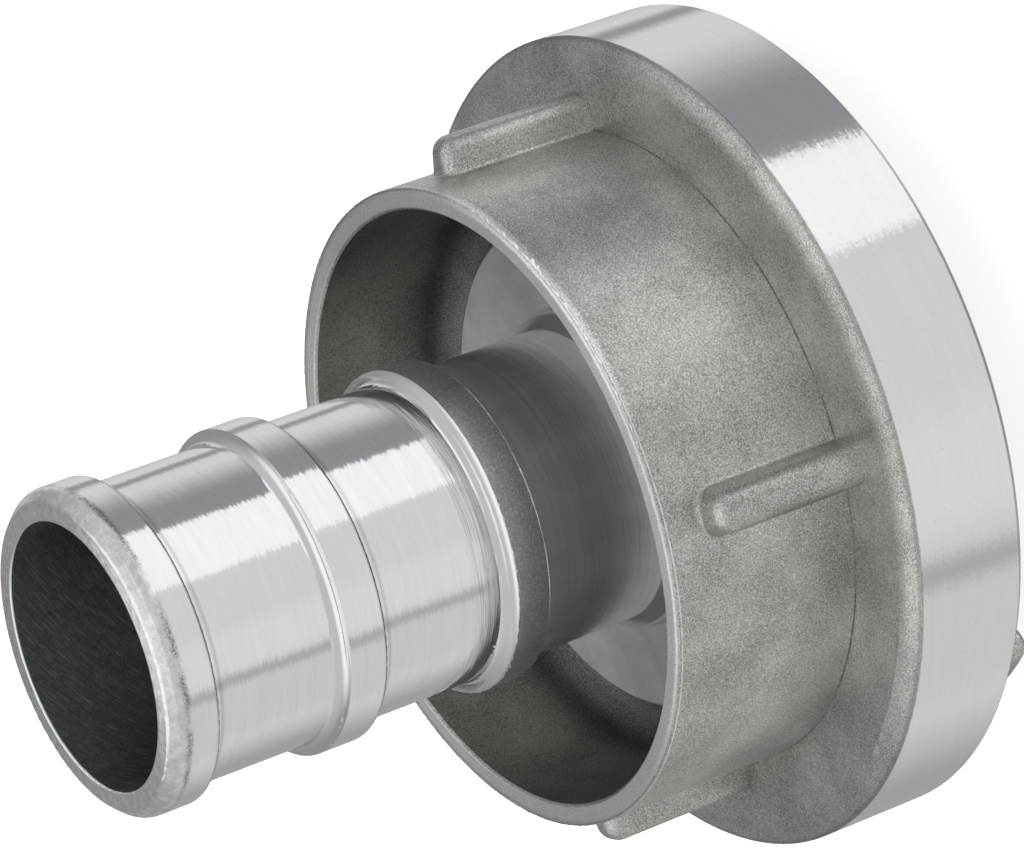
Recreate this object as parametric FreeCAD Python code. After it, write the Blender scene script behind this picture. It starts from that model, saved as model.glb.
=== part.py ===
import FreeCAD, Part
import math
import os

# Quarter turn fire hose coupling with a hose tail, in millimetres.
#
# One half of a symmetrical claw coupling. A cast claw ring turns freely on a
# turned hose tail: its two claws enter the openings of an equal coupling and
# run under that one's lips in a quarter turn. A split wire ring, half in the
# head of the tail and half in the claw ring, carries the pull of the hose, and
# a rubber ring in the mouth of the tail seals against the other half's ring.
#
# Frame: the axis of the waterway is Z, +Z points to the hose, the claw tips
# lie in the plane Z = 0 and +X runs through the middle of one claw.

# Claw ring: the coupling flange
FLANGE_R = 49.0            # turned band round the flange
FLANGE_DEPTH = 15.3        # coupling face to the cast rear face
FLANGE_FRONT_CHAMFER = 0.8
FLANGE_BEVEL_LENGTH = 0.9  # cast corner behind the turned band
FLANGE_BEVEL_DEPTH = 2.1
FLANGE_BEVEL_ROUND = 4.0   # cast corner into the rear face
BACK_WALL = 4.0            # left behind the claw channel

# Claw ring: claws and the channel for the other coupling's claws
CLAW_REACH = 10.5          # claw tips in front of the coupling face
CLAW_GAUGE_R = 33.0        # inner face of the claws, half the claw spacing
CLAW_NECK_R = 37.3         # back of the claw below its hook
HOOK_R = 41.6              # outer edge of the hook
CLAW_ARC = 44.0            # degrees of arc that one claw takes
CLAW_CORNER_ROUND = 1.8    # outer corners of the hook
CLAW_TIP_ROUND = 0.7       # edges of the claw tip
CLAW_ROOT_ROUND = 0.9      # claw into the coupling face
CLAW_COUNT = 2
CHANNEL_END_GAP = 1.5      # degrees between a claw and the channel beside it
ENTRY_PLAY = 4.0           # degrees by which the opening is wider than a claw
LIP_THICKNESS = 5.0        # lip at its stop end
LIP_RISE = 1.2             # what the ramp under the lip gains along the lip
RADIAL_PLAY = 0.4          # claw to hub, to lip and to channel wall
HOOK_PLAY = 0.15           # hook to lip when both are home
LIP_EDGE = 1.1             # chamfer on the lip that clears the claw roots
OVERCUT = 3.0              # how far cutting tools run past the metal

# Claw ring: skirt round the hose end
SKIRT_R = 38.1
SKIRT_WALL = 2.6
SKIRT_LENGTH = 24.1        # flange rear face to the rim
RIM_CHAMFER = 0.35         # turned edges of the rim
FLOOR_HEIGHT = 3.8         # floor inside the skirt above the flange rear face
FLOOR_ROUND = 4.4          # floor into the skirt wall
FLOOR_CHAMFER = 0.4        # mouth of the bore in the floor

# Claw ring: ribs for the coupling spanner
RIB_COUNT = 4
RIB_TURN = -20.7           # degrees from the claw to the nearest rib
RIB_HEIGHT = 4.2
RIB_LENGTH = 19.5
RIB_WIDTH = 5.9            # at the skirt
RIB_DRAFT = 0.7            # what each side and the end lose to the crest
RIB_CREST_FLAT = 0.4       # flat left between the rounded edges of the crest
RIB_FOOT_ROUND = 0.7

# Hose tail: the head that turns in the claw ring
HEAD_R = 29.3
HEAD_GAP = 0.08            # running fit of the head in the claw ring
HEAD_PROUD = 3.9           # head rear face above the floor inside the skirt
HEAD_SETBACK = 0.3         # head front behind the coupling face
HEAD_EDGE = 0.4
COLLAR_R = 19.4            # step between the head and the neck, at the head
COLLAR_TAPER = 0.5         # what the collar loses to its end
COLLAR_LENGTH = 1.6
COLLAR_ROUND = 1.0
COLLAR_SLOPE_LENGTH = 1.8  # from the collar down to the neck
NECK_R = 17.5
NECK_LENGTH = 16.9         # collar to the hose stop

# Hose tail: what the hose is bound on
STOP_LENGTH = 4.4
STOP_CHAMFER = 0.2
STOP_FOOT_ROUND = 1.4
SPIGOT_R = 17.65
BEAD_R = 19.15             # beads and hose stop are turned to one size
LAND_2_LENGTH = 17.2       # plain length between the stop and the inner bead
BEAD_2_LENGTH = 4.9
BEAD_2_FOOT_ROUND = 1.4    # hose side of the inner bead
LAND_1_LENGTH = 16.7       # plain length between the beads
BEAD_1_LENGTH = 4.6
BEAD_EDGE_ROUND = 0.4      # edge of each bead on the side of the head
END_BEVEL_LENGTH = 1.4     # lead-in at the end of the tail
END_BEVEL_DEPTH = 1.3
END_BEVEL_ROUND = 1.6      # bead into the lead-in
END_FACE_ROUND = 0.6       # lead-in into the end face
MOUTH_ROUND = 0.25         # inner edge of the end face

# Hose tail: waterway
BORE_R = 15.6
CONE_LENGTH = 14.0         # from the mouth down to the bore
MOUTH_LENGTH = 3.6         # straight part behind the sealing ring

# Sealing ring and its seat in the head
SEAT_WALL = 1.7            # metal of the head left outside the ring
SEAT_DEPTH = 5.9           # below the coupling face
SEAT_LIP_HEIGHT = 0.8      # keeps the ring in
SEAT_LIP_LENGTH = 1.4
SEAL_WIDTH = 5.6           # ring from the waterway to its seat
SEAL_GAP = 0.05
SEAL_PROUD = 1.2           # ring in front of the coupling face
SEAL_EDGE = 0.6            # edges of the ring's face
SEAL_GROOVE_DEPTH = 2.4    # pressure groove behind the lip of the ring
SEAL_GROOVE_WIDTH = 1.8
SEAL_LIP_LENGTH = 3.0

# Split wire ring between the head and the claw ring
WIRE_R = 1.2
WIRE_GAP = 0.05            # play in both grooves
WIRE_CENTRE = 0.05         # centre line outside the head
WIRE_SPLIT = 14.0          # degrees left open
RING_HEIGHT = 0.5          # above the flange rear face
WIRE_GROOVE_DEPTH = 2.6    # lets the wire sink in the head for fitting

# Planes along the axis that follow from the sizes above
FACE_Z = CLAW_REACH
REAR_Z = FACE_Z + FLANGE_DEPTH
RIM_Z = REAR_Z + SKIRT_LENGTH
FLOOR_Z = REAR_Z + FLOOR_HEIGHT
CHANNEL_Z = REAR_Z - BACK_WALL
HEAD_FRONT_Z = FACE_Z + HEAD_SETBACK
HEAD_REAR_Z = FLOOR_Z + HEAD_PROUD
COLLAR_Z = HEAD_REAR_Z + COLLAR_LENGTH
NECK_Z = COLLAR_Z + COLLAR_SLOPE_LENGTH
STOP_Z = NECK_Z + NECK_LENGTH
LAND_2_Z = STOP_Z + STOP_LENGTH
BEAD_2_Z = LAND_2_Z + LAND_2_LENGTH
LAND_1_Z = BEAD_2_Z + BEAD_2_LENGTH
BEAD_1_Z = LAND_1_Z + LAND_1_LENGTH
BEVEL_Z = BEAD_1_Z + BEAD_1_LENGTH
END_Z = BEVEL_Z + END_BEVEL_LENGTH
SEAT_Z = FACE_Z + SEAT_DEPTH
CONE_Z = SEAT_Z + MOUTH_LENGTH
RING_Z = REAR_Z + RING_HEIGHT

# Radii and angles that follow
SEAT_R = HEAD_R - SEAT_WALL
SEAT_LIP_R = SEAT_R - SEAT_LIP_HEIGHT
MOUTH_R = SEAT_R - SEAL_WIDTH
HUB_BORE_R = HEAD_R + HEAD_GAP
HUB_R = CLAW_GAUGE_R - RADIAL_PLAY
LIP_R = CLAW_NECK_R + RADIAL_PLAY
CHANNEL_R = HOOK_R + RADIAL_PLAY
SKIRT_BORE_R = SKIRT_R - SKIRT_WALL
RIB_CREST_ROUND = (RIB_WIDTH - 2 * RIB_DRAFT - RIB_CREST_FLAT) / 2
HALF_TURN = 360.0 / CLAW_COUNT
CHANNEL_START = CLAW_ARC / 2 + CHANNEL_END_GAP
CHANNEL_ARC = HALF_TURN - CLAW_ARC - 2 * CHANNEL_END_GAP
ENTRY_ARC = CLAW_ARC + ENTRY_PLAY
LIP_START = CHANNEL_START + ENTRY_ARC
LIP_ARC = CHANNEL_ARC - ENTRY_ARC
RAMP_SLOPE = LIP_RISE / LIP_ARC

AXIS = FreeCAD.Vector(0, 0, 1)
ORIGIN = FreeCAD.Vector(0, 0, 0)
TOLERANCE = 1e-3           # for picking edges by where they lie


def at(radius, height):
    """Point of a turned profile, in the XZ plane."""
    return FreeCAD.Vector(radius, 0, height)


def profile(corners):
    """Closed face in the XZ plane from (radius, height, rounding) corners."""
    count = len(corners)
    entries = []
    exits = []
    for i in range(count):
        corner = at(corners[i][0], corners[i][1])
        before = at(corners[i - 1][0], corners[i - 1][1]) - corner
        after = at(corners[(i + 1) % count][0], corners[(i + 1) % count][1]) - corner
        before.normalize()
        after.normalize()
        rounding = corners[i][2]
        reach = rounding / math.tan(before.getAngle(after) / 2) if rounding else 0.0
        entries.append(corner + before * reach)
        exits.append(corner + after * reach)
    edges = []
    for i in range(count):
        if corners[i][2]:
            corner = at(corners[i][0], corners[i][1])
            middle = (entries[i] + exits[i]) * 0.5
            inward = middle - corner
            half_chord = (exits[i] - entries[i]).Length / 2
            sagitta = corners[i][2] - math.sqrt(corners[i][2] ** 2 - half_chord ** 2)
            inward.normalize()
            edges.append(Part.Arc(entries[i], middle - inward * sagitta, exits[i]).toShape())
        start = exits[i]
        end = entries[(i + 1) % count]
        if (end - start).Length > 1e-6:
            edges.append(Part.LineSegment(start, end).toShape())
    return Part.Face(Part.Wire(edges))


def turned(corners, start=0.0, arc=360.0):
    """Solid turned about Z from a profile, from one angle over an arc."""
    face = profile(corners)
    face.rotate(ORIGIN, AXIS, start)
    return face.revolve(ORIGIN, AXIS, arc)


def sector(inner, outer, low, high, start, arc):
    """Part of a plain ring between two radii, two heights and two angles."""
    corners = [(inner, low, 0), (outer, low, 0), (outer, high, 0), (inner, high, 0)]
    return turned(corners, start, arc)


def above_ramp(height, start, arc):
    """All that lies above the ramp's screw surface, which has a height at one angle."""
    arc_with_ends = arc + 2 * OVERCUT
    rise = RAMP_SLOPE * arc_with_ends
    pitch = RAMP_SLOPE * 360.0
    inner_edge = Part.makeHelix(pitch, rise, HUB_R - OVERCUT).Edges[0]
    outer_edge = Part.makeHelix(pitch, rise, CHANNEL_R + OVERCUT).Edges[0]
    solid = Part.makeRuledSurface(inner_edge, outer_edge).extrude(AXIS * FLANGE_DEPTH * 2)
    solid.translate(AXIS * (height - RAMP_SLOPE * OVERCUT))
    solid.rotate(ORIGIN, AXIS, start - OVERCUT)
    return solid


def round_each_claw(shape):
    """The shape and its copies, one for each claw."""
    copies = []
    for i in range(CLAW_COUNT):
        copy = shape.copy()
        copy.rotate(ORIGIN, AXIS, i * HALF_TURN)
        copies.append(copy)
    return copies


def ring_body():
    """Flange, hub and skirt of the claw ring as one turned form."""
    return turned([
        (HUB_BORE_R, FACE_Z, 0),
        (FLANGE_R - FLANGE_FRONT_CHAMFER, FACE_Z, 0),
        (FLANGE_R, FACE_Z + FLANGE_FRONT_CHAMFER, 0),
        (FLANGE_R, REAR_Z - FLANGE_BEVEL_LENGTH, 0),
        (FLANGE_R - FLANGE_BEVEL_DEPTH, REAR_Z, FLANGE_BEVEL_ROUND),
        (SKIRT_R, REAR_Z, 0),
        (SKIRT_R, RIM_Z - RIM_CHAMFER, 0),
        (SKIRT_R - RIM_CHAMFER, RIM_Z, 0),
        (SKIRT_BORE_R + RIM_CHAMFER, RIM_Z, 0),
        (SKIRT_BORE_R, RIM_Z - RIM_CHAMFER, 0),
        (SKIRT_BORE_R, FLOOR_Z, FLOOR_ROUND),
        (HUB_BORE_R + FLOOR_CHAMFER, FLOOR_Z, 0),
        (HUB_BORE_R, FLOOR_Z - FLOOR_CHAMFER, 0),
    ])


def claw():
    """One claw: neck, hook with a sloping holding face, and rounded corners."""
    start = -CLAW_ARC / 2
    neck = sector(CLAW_GAUGE_R, CLAW_NECK_R, 0, FACE_Z + BACK_WALL, start, CLAW_ARC)
    hook = sector(CLAW_GAUGE_R, HOOK_R, 0, FACE_Z, start, CLAW_ARC)
    corners = [edge for edge in hook.Edges if is_upright(edge, HOOK_R)]
    hook = hook.makeFillet(CLAW_CORNER_ROUND, corners)
    tips = [edge for edge in hook.Edges if edge.BoundBox.ZMax < TOLERANCE and edge.Length > CLAW_TIP_ROUND]
    hook = hook.makeFillet(CLAW_TIP_ROUND, tips)
    past_start = start - OVERCUT
    behind = sector(CLAW_NECK_R, HOOK_R + OVERCUT, 0, FACE_Z + OVERCUT, past_start, CLAW_ARC + 2 * OVERCUT)
    holding = above_ramp(FACE_Z - LIP_THICKNESS - HOOK_PLAY, start, CLAW_ARC)
    return neck.fuse(hook.cut(behind.common(holding)))


def is_upright(edge, radius):
    """Whether an edge runs along Z at the given radius."""
    first = edge.Vertexes[0].Point
    last = edge.Vertexes[-1].Point
    upright = abs(first.x - last.x) < TOLERANCE and abs(first.y - last.y) < TOLERANCE
    return upright and abs(math.hypot(first.x, first.y) - radius) < TOLERANCE


def claw_root():
    """Fillet between the back of a claw and the coupling face."""
    low = FACE_Z - CLAW_ROOT_ROUND
    sunk_r = CLAW_NECK_R - CLAW_ROOT_ROUND
    sunk_z = FACE_Z + CLAW_ROOT_ROUND
    return turned([
        (sunk_r, low, 0),
        (CLAW_NECK_R, low, 0),
        (CLAW_NECK_R, FACE_Z, CLAW_ROOT_ROUND),
        (CLAW_NECK_R + CLAW_ROOT_ROUND, FACE_Z, 0),
        (CLAW_NECK_R + CLAW_ROOT_ROUND, sunk_z, 0),
        (sunk_r, sunk_z, 0),
    ], -CLAW_ARC / 2, CLAW_ARC)


def channel():
    """What the other coupling's claw sweeps: opening, slot and ramp."""
    front = FACE_Z - OVERCUT
    entry = sector(HUB_R, CHANNEL_R, front, CHANNEL_Z, CHANNEL_START, ENTRY_ARC)
    slot = turned([
        (HUB_R, front, 0),
        (LIP_R + LIP_EDGE + OVERCUT, front, 0),
        (LIP_R + LIP_EDGE, FACE_Z, 0),
        (LIP_R, FACE_Z + LIP_EDGE, 0),
        (LIP_R, CHANNEL_Z, 0),
        (HUB_R, CHANNEL_Z, 0),
    ], CHANNEL_START, CHANNEL_ARC)
    under = sector(HUB_R, CHANNEL_R, FACE_Z, CHANNEL_Z, LIP_START, LIP_ARC)
    ramp = above_ramp(FACE_Z + LIP_THICKNESS - LIP_RISE, LIP_START, LIP_ARC)
    return entry.fuse(slot).fuse(under.common(ramp))


def rib():
    """One spanner rib along the skirt, with the draft of a casting."""
    low = SKIRT_R - SKIRT_WALL / 2
    high = SKIRT_R + RIB_HEIGHT
    start = REAR_Z - FLANGE_BEVEL_LENGTH
    foot = rib_outline(low, RIB_WIDTH, start, REAR_Z + RIB_LENGTH)
    crest = rib_outline(high, RIB_WIDTH - 2 * RIB_DRAFT, start, REAR_Z + RIB_LENGTH - RIB_DRAFT)
    solid = Part.makeLoft([foot, crest], True, True)
    tips = [edge for edge in solid.Edges if is_end_corner(edge, low, high)]
    solid = solid.makeFillet(RIB_CREST_ROUND, tips)
    boxes = [(edge, edge.BoundBox) for edge in solid.Edges]
    top = [edge for edge, box in boxes if box.XMin > high - TOLERANCE and box.ZMax > REAR_Z]
    return solid.makeFillet(RIB_CREST_ROUND, top)


def rib_outline(x, width, low, high):
    """Rectangle of a rib at one distance from the axis."""
    half = width / 2
    corners = [(half, low), (half, high), (-half, high), (-half, low), (half, low)]
    return Part.makePolygon([FreeCAD.Vector(x, y, z) for y, z in corners])


def is_end_corner(edge, low, high):
    """Whether an edge climbs from the skirt to the crest at the rim end."""
    box = edge.BoundBox
    return box.XMax - box.XMin > (high - low) / 2 and box.ZMin > REAR_Z + RIB_LENGTH / 2


def claw_ring():
    """The cast claw ring, one piece with its claws, channel, skirt and ribs."""
    body = ring_body()
    ribs = []
    for i in range(RIB_COUNT):
        copy = rib()
        copy.rotate(ORIGIN, AXIS, RIB_TURN + i * 360.0 / RIB_COUNT)
        ribs.append(copy)
    body = body.fuse(ribs).removeSplitter()
    feet = [edge for edge in body.Edges if is_rib_foot(edge)]
    body = body.makeFillet(RIB_FOOT_ROUND, feet)
    body = body.cut(round_each_claw(channel()))
    body = body.fuse(round_each_claw(claw()) + round_each_claw(claw_root()))
    groove = Part.makeTorus(HEAD_R + WIRE_CENTRE, WIRE_R + WIRE_GAP, ORIGIN + AXIS * RING_Z)
    return body.cut(groove).removeSplitter()


def is_rib_foot(edge):
    """Whether an edge is where a rib's side or end meets the skirt."""
    low = REAR_Z
    high = RIM_Z - RIM_CHAMFER
    box = edge.BoundBox
    if box.ZMin < low - TOLERANCE or box.ZMax < low + TOLERANCE or box.ZMax > high - TOLERANCE:
        return False
    return all(abs(math.hypot(p.x, p.y) - SKIRT_R) < TOLERANCE for p in edge.discretize(5))


def hose_tail():
    """The turned hose tail: head, collar, neck, hose stop and two beads."""
    head = [
        (SEAT_LIP_R, HEAD_FRONT_Z, 0),
        (HEAD_R - HEAD_EDGE, HEAD_FRONT_Z, 0),
        (HEAD_R, HEAD_FRONT_Z + HEAD_EDGE, 0),
        (HEAD_R, RING_Z - WIRE_R - WIRE_GAP, 0),
        (HEAD_R - WIRE_GROOVE_DEPTH, RING_Z - WIRE_R - WIRE_GAP, 0),
        (HEAD_R - WIRE_GROOVE_DEPTH, RING_Z + WIRE_R + WIRE_GAP, 0),
        (HEAD_R, RING_Z + WIRE_R + WIRE_GAP, 0),
        (HEAD_R, HEAD_REAR_Z - HEAD_EDGE, 0),
        (HEAD_R - HEAD_EDGE, HEAD_REAR_Z, 0),
        (COLLAR_R, HEAD_REAR_Z, 0),
        (COLLAR_R - COLLAR_TAPER, COLLAR_Z, COLLAR_ROUND),
        (NECK_R, NECK_Z, 0),
    ]
    stop_and_beads = [
        (NECK_R, STOP_Z, 0),
        (BEAD_R - STOP_CHAMFER, STOP_Z, 0),
        (BEAD_R, STOP_Z + STOP_CHAMFER, 0),
        (BEAD_R, LAND_2_Z, 0),
        (SPIGOT_R, LAND_2_Z, STOP_FOOT_ROUND),
        (SPIGOT_R, BEAD_2_Z, 0),
        (BEAD_R, BEAD_2_Z, BEAD_EDGE_ROUND),
        (BEAD_R, LAND_1_Z, 0),
        (SPIGOT_R, LAND_1_Z, BEAD_2_FOOT_ROUND),
        (SPIGOT_R, BEAD_1_Z, 0),
        (BEAD_R, BEAD_1_Z, BEAD_EDGE_ROUND),
        (BEAD_R, BEVEL_Z, END_BEVEL_ROUND),
        (BEAD_R - END_BEVEL_DEPTH, END_Z, END_FACE_ROUND),
        (BORE_R, END_Z, MOUTH_ROUND),
    ]
    waterway = [
        (BORE_R, CONE_Z + CONE_LENGTH, 0),
        (MOUTH_R, CONE_Z, 0),
        (MOUTH_R, SEAT_Z, 0),
        (SEAT_R, SEAT_Z, 0),
        (SEAT_R, FACE_Z + SEAT_LIP_LENGTH, 0),
        (SEAT_LIP_R, FACE_Z + SEAT_LIP_LENGTH, 0),
    ]
    return turned(head + stop_and_beads + waterway)


def sealing_ring():
    """The rubber ring: a body held in its seat and a lip in front."""
    outer = SEAT_R - SEAL_GAP
    held = SEAT_LIP_R - SEAL_GAP
    shoulder = FACE_Z + SEAT_LIP_LENGTH + SEAL_GAP
    front = FACE_Z - SEAL_PROUD
    groove = front + SEAL_LIP_LENGTH
    return turned([
        (MOUTH_R, front + SEAL_EDGE, 0),
        (MOUTH_R + SEAL_EDGE, front, 0),
        (held - SEAL_EDGE, front, 0),
        (held, front + SEAL_EDGE, 0),
        (held, shoulder, 0),
        (outer, shoulder, 0),
        (outer, SEAT_Z, 0),
        (MOUTH_R, SEAT_Z, 0),
        (MOUTH_R, groove + SEAL_GROOVE_WIDTH, 0),
        (MOUTH_R + SEAL_GROOVE_DEPTH, groove + SEAL_GROOVE_WIDTH / 2, 0),
        (MOUTH_R, groove, 0),
    ])


def snap_ring():
    """The split wire ring that ties the tail to the claw ring."""
    centre = at(HEAD_R + WIRE_CENTRE, RING_Z)
    section = Part.Face(Part.Wire(Part.makeCircle(WIRE_R, centre, FreeCAD.Vector(0, 1, 0))))
    section.rotate(ORIGIN, AXIS, WIRE_SPLIT / 2)
    return section.revolve(ORIGIN, AXIS, 360.0 - WIRE_SPLIT)


NODES = {
    "claw_ring": claw_ring,
    "hose_tail": hose_tail,
    "sealing_ring": sealing_ring,
    "snap_ring": snap_ring,
}

os.makedirs("parts", exist_ok=True)
for name, make in NODES.items():
    shape = make()
    solid = shape.Solids[0]
    print(name, "solids", len(shape.Solids), "valid", solid.isValid(), "volume", round(solid.Volume, 1))
    solid.exportStep("parts/" + name + ".step")
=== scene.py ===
"""Looks of a quarter turn fire hose coupling: its finishes, its burrs and the studio.

The CAD pieces stay as they are and get procedural materials. Only the burrs, which are too fine for the solids, are
modelled here. The waterway is the Z axis, with the hose end up and the claw tips on the floor.
"""

import logging
import math
from dataclasses import asdict, dataclass, fields
from enum import Enum

import bmesh
import bpy
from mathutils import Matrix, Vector, noise


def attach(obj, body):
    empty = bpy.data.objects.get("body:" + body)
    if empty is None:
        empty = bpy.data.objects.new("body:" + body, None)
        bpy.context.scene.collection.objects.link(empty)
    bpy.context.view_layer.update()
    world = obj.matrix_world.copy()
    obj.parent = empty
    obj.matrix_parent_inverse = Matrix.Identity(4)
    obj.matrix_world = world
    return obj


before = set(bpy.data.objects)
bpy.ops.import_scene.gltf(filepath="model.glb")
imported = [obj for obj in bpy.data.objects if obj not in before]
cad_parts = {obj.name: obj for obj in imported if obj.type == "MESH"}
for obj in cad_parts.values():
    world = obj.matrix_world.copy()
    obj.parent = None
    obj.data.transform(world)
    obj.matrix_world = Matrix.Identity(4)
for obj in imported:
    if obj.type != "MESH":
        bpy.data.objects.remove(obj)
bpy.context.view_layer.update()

MM = 0.001
PER_MM = 1.0 / MM
LOG = logging.getLogger("fire_hose_coupling")

Colour = tuple[float, float, float]
Wire = bpy.types.NodeSocket
Tree = bpy.types.NodeTree
Material = bpy.types.Material

WHITE: Colour = (1.0, 1.0, 1.0)
UP = (0.0, 0.0, 1.0)
QUARTER_TURN = 0.25
STREAK_TONES = (0.25, 0.75)
STREAK_GLOSS = (0.2, 0.8)


class Body(Enum):
    """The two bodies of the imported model."""

    RING = "ring"
    TAIL = "tail"


class Slot(Enum):
    """The material slots of the record."""

    CAST = "cast_aluminium"
    TURNED = "turned_aluminium"
    RUBBER = "seal_rubber"
    SPRING = "spring_wire"


class Graph:
    """Adds nodes to one node tree and joins them up."""

    def __init__(self, tree: Tree) -> None:
        """Works on the given tree."""
        self.tree = tree

    def put(self, socket: Wire, value: object) -> None:
        """Joins a socket to another one, or sets its value.

        Args:
            socket: The input to feed.
            value: An output socket to join, or a plain value. A colour has no alpha.
        """
        if isinstance(value, Wire):
            self.tree.links.new(value, socket)
        elif socket.type == "RGBA":
            socket.default_value = (*value, 1.0)
        else:
            socket.default_value = value

    def node(self, kind: str, inputs: dict | None = None, **settings: object) -> bpy.types.Node:
        """Adds a node.

        Args:
            kind: The node's type name without the words ShaderNode.
            inputs: Values or sockets by the input's name or number.
            **settings: Attributes of the node.

        Returns:
            The new node.
        """
        made = self.tree.nodes.new("ShaderNode" + kind)
        for name, value in settings.items():
            setattr(made, name, value)
        for name, value in (inputs or {}).items():
            self.put(made.inputs[name], value)
        return made

    def math(self, operation: str, *values: object) -> Wire:
        """Returns the result of a Math node."""
        return self.node("Math", dict(enumerate(values)), operation=operation).outputs[0]

    def times(self, one: object, other: object) -> Wire:
        """Returns the product of two numbers."""
        return self.math("MULTIPLY", one, other)

    def vector(self, operation: str, *values: object) -> Wire:
        """Returns the vector that a Vector Math node puts out."""
        return self.node("VectorMath", dict(enumerate(values)), operation=operation).outputs["Vector"]

    def scaled(self, direction: object, length: object) -> Wire:
        """Returns a vector times a number."""
        return self.node("VectorMath", {0: direction, "Scale": length}, operation="SCALE").outputs["Vector"]

    def joined(self, x: object, y: object, z: object) -> Wire:
        """Returns a vector made of three numbers."""
        return self.node("CombineXYZ", {"X": x, "Y": y, "Z": z}).outputs["Vector"]

    def raised(self, place: object, height: object) -> Wire:
        """Returns a vector with a number added to its Z part."""
        return self.vector("ADD", place, self.joined(0.0, 0.0, height))

    def to_world(self, direction: object) -> Wire:
        """Returns a direction of the piece's own frame as one of the world's."""
        convert = {"vector_type": "VECTOR", "convert_from": "OBJECT", "convert_to": "WORLD"}
        return self.node("VectorTransform", {0: direction}, **convert).outputs[0]

    def blend(self, share: object, low: object, high: object) -> Wire:
        """Returns the number between low and high at the given share."""
        return self.node("Mix", {0: share, 2: low, 3: high}, data_type="FLOAT").outputs[0]

    def blend_vector(self, share: object, low: object, high: object) -> Wire:
        """Returns the vector between low and high at the given share."""
        return self.node("Mix", {0: share, 4: low, 5: high}, data_type="VECTOR").outputs[1]

    def tint(self, share: object, low: object, high: object, kind: str = "MIX") -> Wire:
        """Returns the colour between low and high at the given share."""
        return self.node("Mix", {0: share, 6: low, 7: high}, data_type="RGBA", blend_type=kind).outputs[2]

    def shaded(self, share: object, colour: object, shade: object) -> Wire:
        """Returns a colour that is multiplied by a shade at the given share."""
        return self.tint(share, colour, self.tint(1.0, colour, shade, "MULTIPLY"))

    def step(self, value: object, start: object, end: object, low: object = 0.0, high: object = 1.0) -> Wire:
        """Returns a smooth step of value, from low at start to high at end."""
        inputs = {"Value": value, "From Min": start, "From Max": end, "To Min": low, "To Max": high}
        return self.node("MapRange", inputs, interpolation_type="SMOOTHSTEP").outputs["Result"]

    def over(self, value: object, limit: object, below: object = 0.03, beyond: object = 0.04) -> Wire:
        """Returns 1 where a value is over a limit, with a soft border."""
        return self.step(value, self.math("SUBTRACT", limit, below), self.math("ADD", limit, beyond))

    def noise(self, place: object, scale: object, detail: float, roughness: float) -> Wire:
        """Returns 3D noise from 0 to 1 at a place."""
        inputs = {"Vector": place, "Scale": scale, "Detail": detail, "Roughness": roughness}
        return self.node("TexNoise", inputs, noise_dimensions="3D").outputs["Fac"]

    def swing(self, place: object, scale: object, detail: float, roughness: float) -> Wire:
        """Returns 3D noise from -0.5 to 0.5 at a place."""
        return self.math("SUBTRACT", self.noise(place, scale, detail, roughness), 0.5)

    def effect(self, group: Tree, **values: object) -> dict[str, Wire]:
        """Places a shared effect.

        Args:
            group: The effect's node group.
            **values: Values or sockets for the group's inputs.

        Returns:
            The group's outputs by name.
        """
        made = self.node("Group")
        made.node_tree = group
        for name, value in values.items():
            self.put(made.inputs[name], value)
        return {socket.name: socket for socket in made.outputs}


@dataclass(frozen=True)
class Zone:
    """Settings of band_mask: a band of the surface, by height and radius in millimetres."""

    low: float = -1.0
    high: float = 200.0
    inner: float = -1.0
    outer: float = 200.0
    ragged: float = 0.1
    soft: float = 0.05


@dataclass(frozen=True)
class Marks:
    """Settings of turning_marks: the rings' pitch in millimetres, their tilts, and how often they change on a turn."""

    pitch: float
    runs: float
    ragged: float = 0.02
    groove: float = 0.03


@dataclass(frozen=True)
class Skin:
    """Settings of cast_skin: the sizes of its grains and stains in millimetres."""

    grain: float
    stain_size: float = 9.0


@dataclass(frozen=True)
class Rings:
    """Settings of tool_rings: heights and pitch in millimetres, and the share of the rings that shows."""

    low: float
    high: float
    pitch: float
    share: float


@dataclass(frozen=True)
class Beaten:
    """Settings of hammered_skin: the size of its spots in millimetres, their tilt and the amount of pits."""

    size: float
    tilt: float
    pits: float


@dataclass(frozen=True)
class Scratch:
    """Settings of scratches: their slant, width and length in millimetres, and their amount."""

    slant: float
    width: float
    length: float
    amount: float


@dataclass(frozen=True)
class Port:
    """One named socket of an effect."""

    name: str
    kind: str = "NodeSocketFloat"


PLACE = Port("Place", "NodeSocketVector")
NORMAL = Port("Normal", "NodeSocketVector")


def socket_name(field: str) -> str:
    """Returns the name of the socket that a field of settings is for."""
    return field.replace("_", " ").title()


def ports(settings: type) -> list[Port]:
    """Returns the sockets for a class of settings."""
    return [Port(socket_name(field.name)) for field in fields(settings)]


class Effect:
    """A node group that several materials share."""

    def __init__(self, name: str, inputs: list[Port], outputs: list[Port]) -> None:
        """Makes the group and its sockets.

        Args:
            name: The group's name.
            inputs: The sockets that a material sets.
            outputs: The values that the group puts out.
        """
        self.group = bpy.data.node_groups.new(name, "ShaderNodeTree")
        for sockets, side in ((inputs, "INPUT"), (outputs, "OUTPUT")):
            for port in sockets:
                self.group.interface.new_socket(port.name, in_out=side, socket_type=port.kind)
        self.graph = Graph(self.group)
        self.given = self.group.nodes.new("NodeGroupInput").outputs
        self.result = self.group.nodes.new("NodeGroupOutput").inputs

    def output(self, **values: Wire) -> None:
        """Joins the group's outputs by name."""
        for name, value in values.items():
            self.graph.put(self.result[name], value)


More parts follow.
